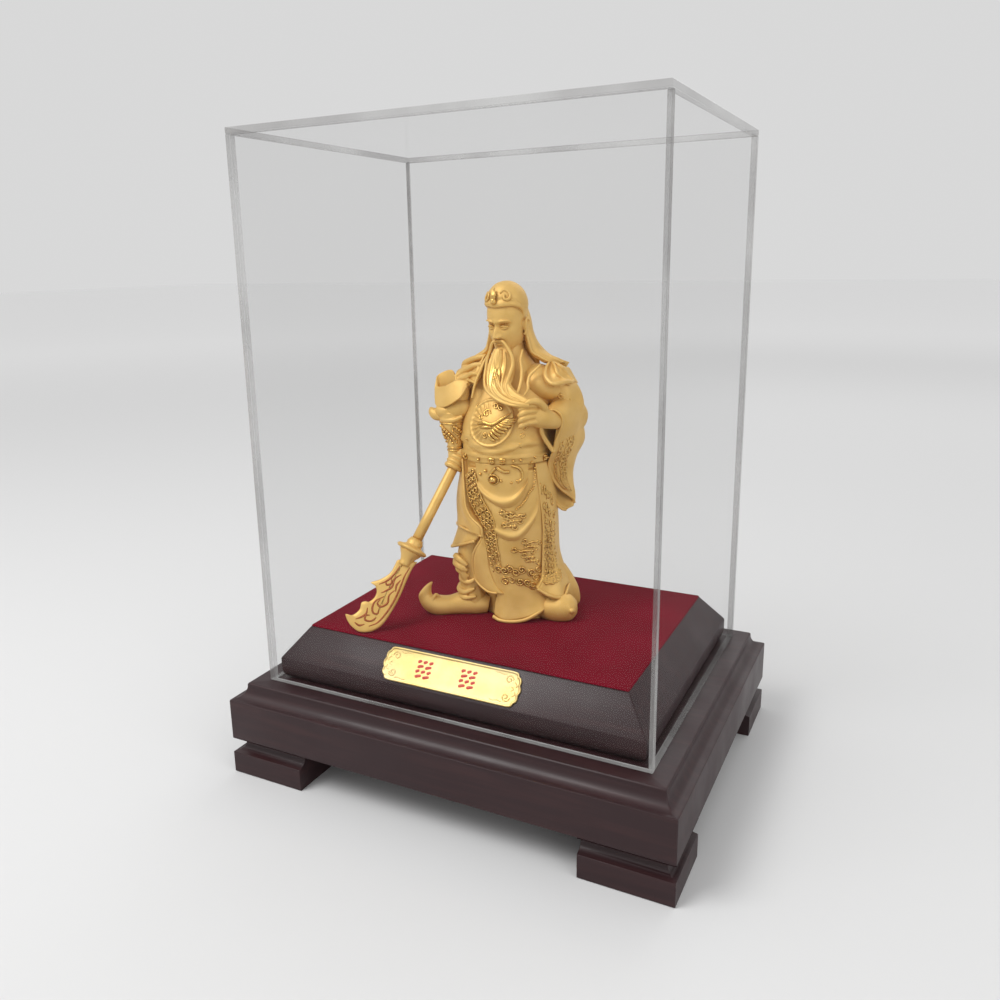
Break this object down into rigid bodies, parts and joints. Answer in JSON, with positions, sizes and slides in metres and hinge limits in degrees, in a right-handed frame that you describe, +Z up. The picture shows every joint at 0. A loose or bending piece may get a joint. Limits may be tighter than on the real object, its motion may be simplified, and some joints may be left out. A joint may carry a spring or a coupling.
{
  "type": "guan yu statue",
  "caption": "Gilt figure of a bearded general with a halberd, on a velvet-topped block under a clear box cover, all on a footed lacquered plinth.",
  "frame": {"origin": "under the middle of the plinth, on the surface it stands on", "axes": "+Z up, -Y the front with the name plate, +X the viewer's right from the front"},
  "size_m": [0.24, 0.19, 0.326],
  "materials": {
    "lacquer": "dark brown-red lacquer, semi-gloss",
    "velvet": "deep crimson velvet pile",
    "gold": "matte sanded gold plating with polished raised ornament",
    "foil": "pale gold brushed plate with red strokes",
    "acrylic": "clear acrylic sheet with polished edges"
  },
  "bodies": {
    "root": {"plinth_board": "lacquer", "foot_front_left": "lacquer", "foot_front_right": "lacquer", "foot_back_left": "lacquer", "foot_back_right": "lacquer", "display_block": "lacquer", "velvet_panel": "velvet", "name_plate": "foil", "cover_front": "acrylic", "cover_back": "acrylic", "cover_left": "acrylic", "cover_right": "acrylic", "cover_top": "acrylic", "figure": "gold", "halberd": "gold"}
  },
  "joints": []
}
